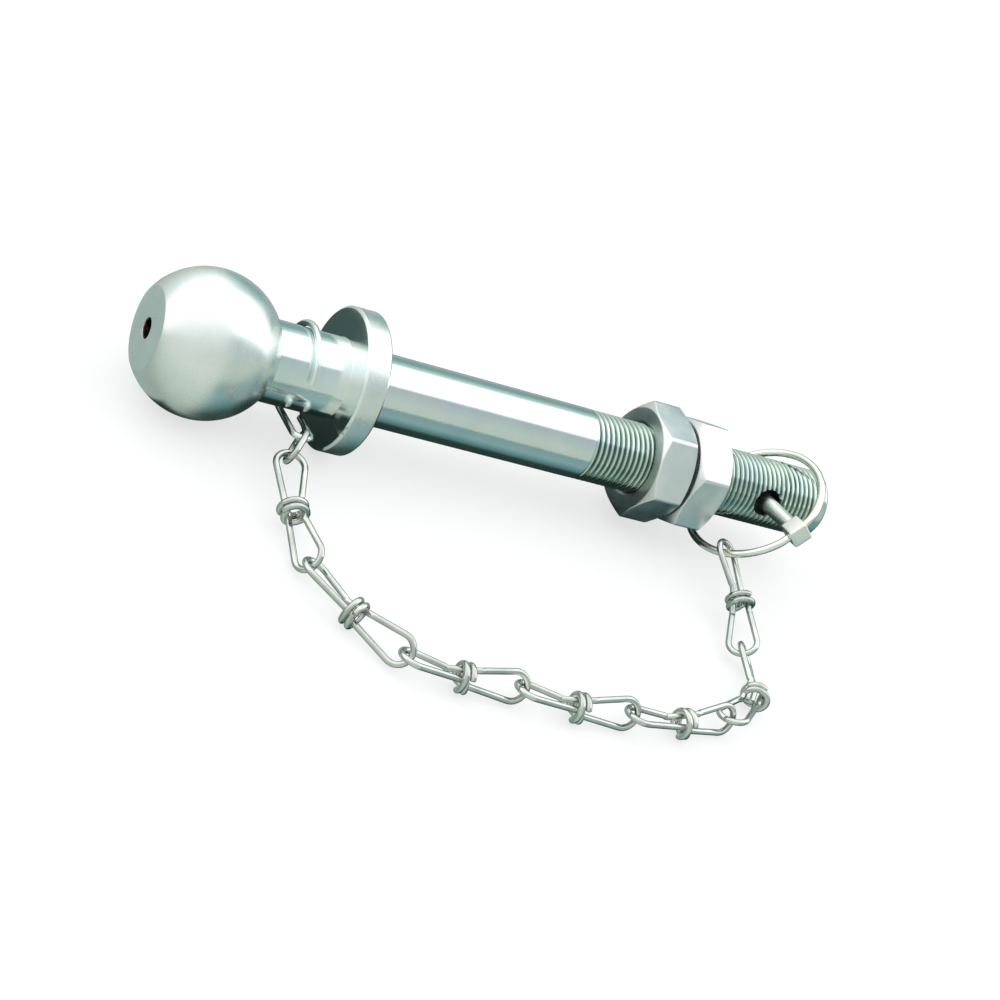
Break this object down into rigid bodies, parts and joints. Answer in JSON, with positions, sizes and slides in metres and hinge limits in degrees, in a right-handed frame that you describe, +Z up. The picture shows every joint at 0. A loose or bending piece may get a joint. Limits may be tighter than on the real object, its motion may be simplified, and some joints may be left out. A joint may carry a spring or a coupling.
{
  "type": "gooseneck hitch ball",
  "caption": "Towing ball on a long threaded shank with a collar and jam nuts, and a ringed linch pin tied to the neck by a chain.",
  "frame": {"origin": "on the shank axis, in the plane of the collar's back face, where the drawbar seats", "axes": "+X along the shank from the collar to the threaded end, +Z up from the surface that the part lies on, the chain lies on the -Y side"},
  "size_m": [0.2704, 0.1411, 0.05],
  "materials": {
    "stud_zinc": "bright blue-white zinc plate, satin on the ball and polished on the shank",
    "nut_zinc": "satin zinc plate",
    "pin_zinc": "satin zinc plate",
    "ring_wire": "polished zinc-plated spring wire, slightly warm",
    "clip_wire": "zinc-plated spring wire",
    "chain_wire": "bright zinc-plated wire"
  },
  "bodies": {
    "ball_stud": {"ball_stud": "stud_zinc", "neck_clip": "clip_wire"},
    "inner_nut": {"inner_nut": "nut_zinc"},
    "outer_nut": {"outer_nut": "nut_zinc"},
    "linch_pin": {"linch_pin": "pin_zinc"},
    "linch_ring": {"linch_ring": "ring_wire"},
    "connector_link": {"connector_link": "chain_wire"},
    "chain_link_1": {"chain_link_1": "chain_wire"},
    "chain_link_2": {"chain_link_2": "chain_wire"},
    "chain_link_3": {"chain_link_3": "chain_wire"},
    "chain_link_4": {"chain_link_4": "chain_wire"},
    "chain_link_5": {"chain_link_5": "chain_wire"},
    "chain_link_6": {"chain_link_6": "chain_wire"},
    "chain_link_7": {"chain_link_7": "chain_wire"}
  },
  "joints": [
    {"name": "inner_nut_turn", "type": "hinge", "parent": "ball_stud", "child": "inner_nut", "pos_m": [0.1202, 0, 0], "axis": [1, 0, 0], "continuous": true},
    {"name": "outer_nut_turn", "type": "hinge", "parent": "ball_stud", "child": "outer_nut", "pos_m": [0.1364, 0, 0], "axis": [1, 0, 0], "continuous": true},
    {"name": "pin_slide", "type": "slide", "parent": "ball_stud", "child": "linch_pin", "axis": [0, 0.9455, -0.3256], "range_m": [0, 0.012]},
    {"name": "ring_hinge", "type": "hinge", "parent": "linch_pin", "child": "linch_ring", "pos_m": [0.1673, -0.03234, 0.01113], "axis": [0.6274, 0.3917, 0.673], "range_deg": [0, 2]},
    {"name": "chain_follow", "type": "hinge", "parent": "ball_stud", "child": "connector_link", "pos_m": [-0.0193, -0.02155, -0.01012], "axis": [0, 0.3256, 0.9455], "range_deg": [0, 4.27]},
    {"name": "chain_swing", "type": "hinge", "parent": "connector_link", "child": "chain_link_1", "pos_m": [-0.02356, -0.02773, -0.01319], "axis": [0.9993, 0.012, 0.0367], "range_deg": [-20, 70]},
    {"name": "link_2_twist", "type": "hinge", "parent": "chain_link_1", "child": "chain_link_2", "pos_m": [-0.0211, -0.0715, -0.0188], "axis": [0.6492, -0.7606, 0.0047], "range_deg": [-10, 10]},
    {"name": "link_3_twist", "type": "hinge", "parent": "chain_link_1", "child": "chain_link_3", "pos_m": [0.0063, -0.1036, -0.0186], "axis": [0.9954, -0.0955, -0.0024], "range_deg": [-10, 10]},
    {"name": "link_4_twist", "type": "hinge", "parent": "chain_link_1", "child": "chain_link_4", "pos_m": [0.048, -0.1076, -0.0187], "axis": [0.9989, -0.0471, 0], "range_deg": [-12, 12]},
    {"name": "link_5_twist", "type": "hinge", "parent": "chain_link_1", "child": "chain_link_5", "pos_m": [0.0904, -0.1096, -0.0187], "axis": [0.9852, 0.1716, 0], "range_deg": [-12, 12]},
    {"name": "link_6_twist", "type": "hinge", "parent": "chain_link_1", "child": "chain_link_6", "pos_m": [0.1323, -0.1023, -0.0187], "axis": [0.4723, 0.8814, 0], "range_deg": [-12, 12]},
    {"name": "link_7_twist", "type": "hinge", "parent": "chain_link_1", "child": "chain_link_7", "pos_m": [0.151, -0.0674, -0.0187], "axis": [-0.0334, 0.9623, 0.2698], "range_deg": [-10, 10]}
  ],
  "couplings": [
    {"joint": "chain_follow", "follows": "pin_slide", "rad_per_m": 5.9207}
  ]
}
